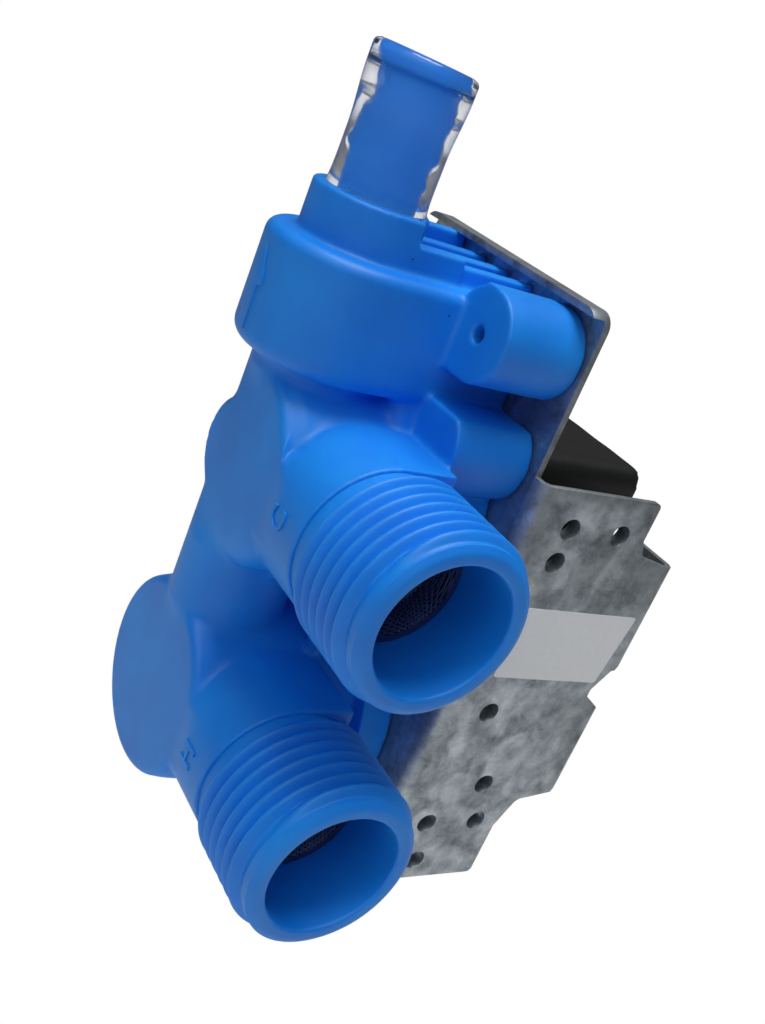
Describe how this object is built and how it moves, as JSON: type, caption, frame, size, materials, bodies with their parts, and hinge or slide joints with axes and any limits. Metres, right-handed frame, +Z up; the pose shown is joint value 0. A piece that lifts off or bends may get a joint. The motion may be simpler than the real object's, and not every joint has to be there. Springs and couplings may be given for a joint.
{
  "type": "water inlet valve",
  "caption": "Washing machine water inlet valve: threaded cold and hot inlets in a blue moulding, hose outlet with a clear sleeve, folded steel bracket and solenoid coils.",
  "frame": {"origin": "centre of the four panel screw holes, on the outer face of the bracket's flange", "axes": "+X from the inlets towards the coils, -Y out of the inlets, +Z up the outlet tube"},
  "size_m": [0.0715, 0.0698, 0.1199],
  "materials": {
    "blue_moulding": "satin moulded polypropylene",
    "clear_hose": "clear soft hose",
    "galvanised_sheet": "mottled galvanised sheet",
    "plated_steel": "zinc plated",
    "coil_cover": "matte moulded resin",
    "strainer_mesh": "fine woven mesh",
    "rubber": "smooth moulded",
    "white_nylon": "moulded nylon",
    "plunger_steel": "turned stainless",
    "terminal_brass": "tinned brass blade"
  },
  "bodies": {
    "valve": {"valve_body": "blue_moulding", "outlet_tube": "blue_moulding", "outlet_sleeve": "clear_hose", "bracket": "galvanised_sheet", "bracket_screws": "plated_steel", "cold_inlet_spigot": "blue_moulding", "cold_strainer": "strainer_mesh", "cold_flow_washer": "rubber", "cold_diaphragm": "rubber", "cold_bonnet": "white_nylon", "cold_plunger_spring": "plunger_steel", "cold_coil": "coil_cover", "cold_yoke": "plated_steel", "cold_coil_clip": "plated_steel", "cold_terminals": "terminal_brass", "hot_inlet_spigot": "blue_moulding", "hot_strainer": "strainer_mesh", "hot_flow_washer": "rubber", "hot_diaphragm": "rubber", "hot_bonnet": "white_nylon", "hot_plunger_spring": "plunger_steel", "hot_coil": "coil_cover", "hot_yoke": "plated_steel", "hot_coil_clip": "plated_steel", "hot_terminals": "terminal_brass"},
    "cold_plunger": {"cold_plunger": "plunger_steel", "cold_plunger_tip": "rubber"},
    "hot_plunger": {"hot_plunger": "plunger_steel", "hot_plunger_tip": "rubber"},
    "cold_lift": {"cold_diaphragm_insert": "white_nylon"},
    "hot_lift": {"hot_diaphragm_insert": "white_nylon"}
  },
  "joints": [
    {"name": "cold_plunger_slide", "type": "slide", "parent": "valve", "child": "cold_plunger", "axis": [1, 0, 0], "range_m": [0, 0.003], "stiffness_N_per_m": 150, "springref_m": -0.004, "deforming": ["cold_plunger_spring"]},
    {"name": "cold_diaphragm_lift", "type": "slide", "parent": "valve", "child": "cold_lift", "axis": [1, 0, 0], "range_m": [0, 0.002], "deforming": ["cold_diaphragm"]},
    {"name": "hot_plunger_slide", "type": "slide", "parent": "valve", "child": "hot_plunger", "axis": [1, 0, 0], "range_m": [0, 0.003], "stiffness_N_per_m": 150, "springref_m": -0.004, "deforming": ["hot_plunger_spring"]},
    {"name": "hot_diaphragm_lift", "type": "slide", "parent": "valve", "child": "hot_lift", "axis": [1, 0, 0], "range_m": [0, 0.002], "deforming": ["hot_diaphragm"]}
  ],
  "couplings": [
    {"joint": "cold_diaphragm_lift", "follows": "cold_plunger_slide", "ratio": 0.66},
    {"joint": "hot_diaphragm_lift", "follows": "hot_plunger_slide", "ratio": 0.66}
  ]
}
